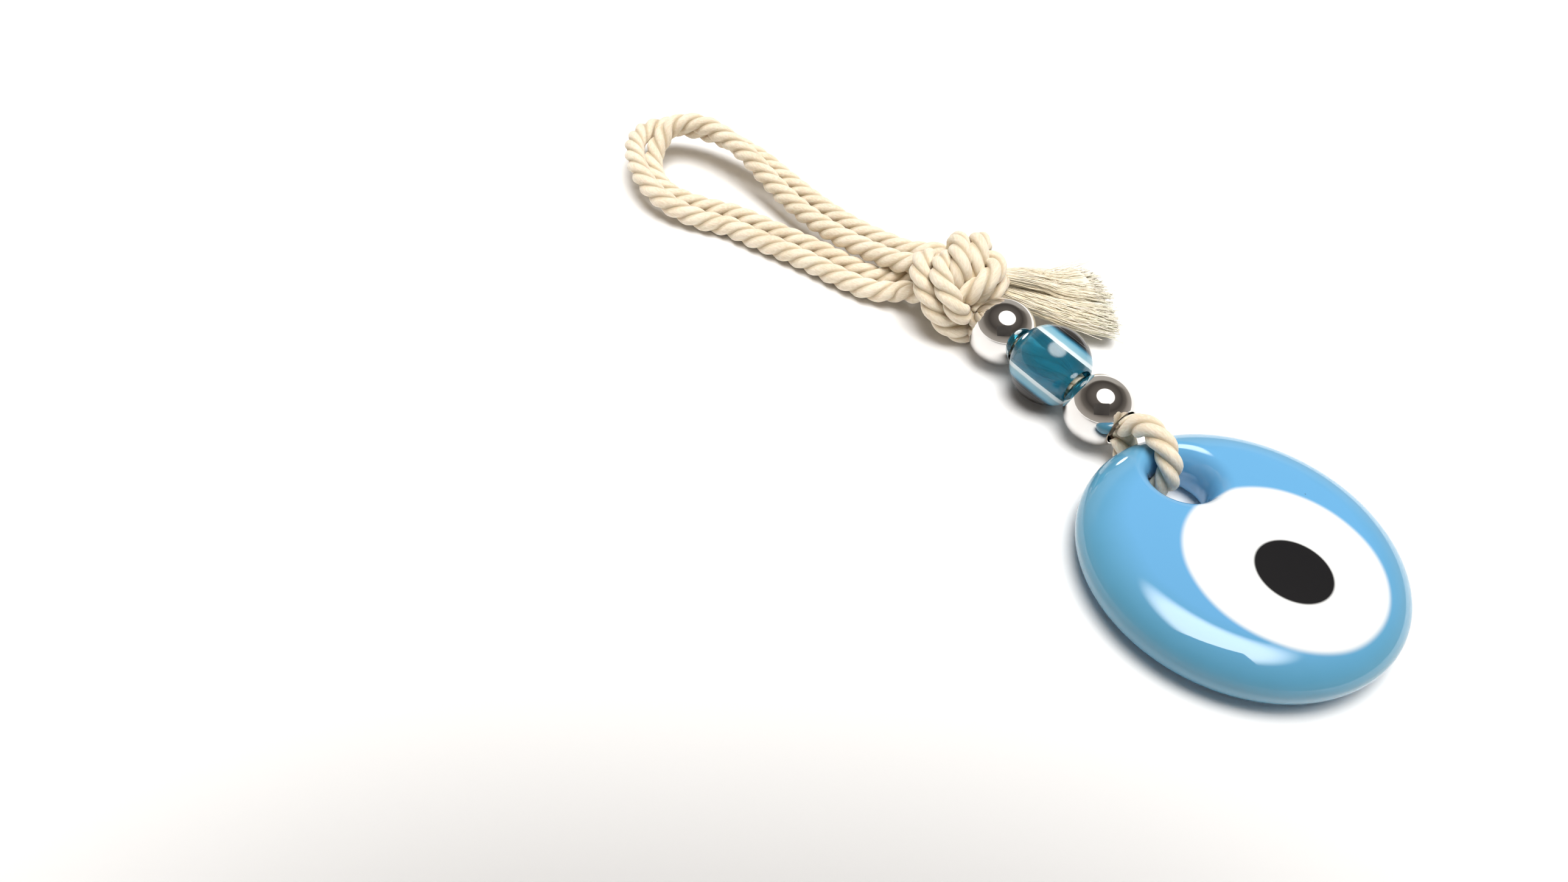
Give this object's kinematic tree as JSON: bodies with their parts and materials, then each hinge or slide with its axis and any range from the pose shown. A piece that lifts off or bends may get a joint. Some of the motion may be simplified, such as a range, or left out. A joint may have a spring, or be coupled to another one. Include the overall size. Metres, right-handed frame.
{
  "type": "evil eye ornament",
  "caption": "Glass eye disc on a doubled cotton cord with silver and eye beads, an overhand knot with a frayed tassel and a hanging loop.",
  "frame": {"origin": "middle of the glass disc's flat back, which lies on the table", "axes": "+Z up out of the disc's face, +Y from the pupil through the cord hole towards the hanging loop, +X to the right seen from above with +Y up"},
  "size_m": [0.07, 0.1683, 0.0156],
  "materials": {
    "blue_glass": "opaque pressed sky-blue glass, fire-polished and glossy",
    "white_glass": "opaque white glass fused into the face, glossy",
    "black_glass": "opaque black glass fused into the iris, slightly duller",
    "silver_plate": "mirror-bright silver-coloured plating",
    "teal_resin": "polished teal resin, slightly see-through",
    "white_resin": "polished milky white resin layer",
    "pale_blue_resin": "polished pale grey-blue resin, cloudy",
    "black_resin": "polished black resin",
    "cotton_cord": "natural undyed three-strand cotton cord, matt and slightly fuzzy"
  },
  "bodies": {
    "disc": {"glass_disc": "blue_glass", "iris_white": "white_glass", "pupil_black": "black_glass"},
    "bight": {"cord_bight": "cotton_cord"},
    "cord_line": {"cord_leg_upper": "cotton_cord", "cord_leg_lower": "cotton_cord", "overhand_knot": "cotton_cord", "tassel_end_a": "cotton_cord", "tassel_end_b": "cotton_cord", "loop_cord_outer": "cotton_cord", "loop_cord_inner": "cotton_cord"},
    "lower_bead": {"lower_silver_bead": "silver_plate"},
    "eye_bead": {"eye_bead_core": "teal_resin", "eye_bead_white_layer_a": "white_resin", "eye_bead_white_layer_b": "white_resin", "eye_bead_pale_layer_a": "pale_blue_resin", "eye_bead_pale_layer_b": "pale_blue_resin", "eye_bead_pupil_a": "black_resin", "eye_bead_pupil_b": "black_resin"},
    "upper_bead": {"upper_silver_bead": "silver_plate"}
  },
  "joints": [
    {"name": "cord_fold", "type": "hinge", "parent": "disc", "child": "bight", "pos_m": [0, 0.022, 0.00556], "axis": [1, 0, 0], "range_deg": [0, 110]},
    {"name": "cord_sway", "type": "hinge", "parent": "bight", "child": "cord_line", "pos_m": [0.00063, 0.02844, 0.006], "axis": [0, 0, 1], "range_deg": [-20, 20]},
    {"name": "lower_bead_spin", "type": "hinge", "parent": "cord_line", "child": "lower_bead", "pos_m": [0, 0.0336, 0.006], "axis": [-0.1219, 0.9925, 0], "continuous": true},
    {"name": "eye_bead_spin", "type": "hinge", "parent": "cord_line", "child": "eye_bead", "pos_m": [-0.00143, 0.04521, 0.007], "axis": [-0.1219, 0.9925, 0], "continuous": true},
    {"name": "upper_bead_spin", "type": "hinge", "parent": "cord_line", "child": "upper_bead", "pos_m": [-0.00285, 0.05683, 0.006], "axis": [-0.1219, 0.9925, 0], "continuous": true}
  ]
}
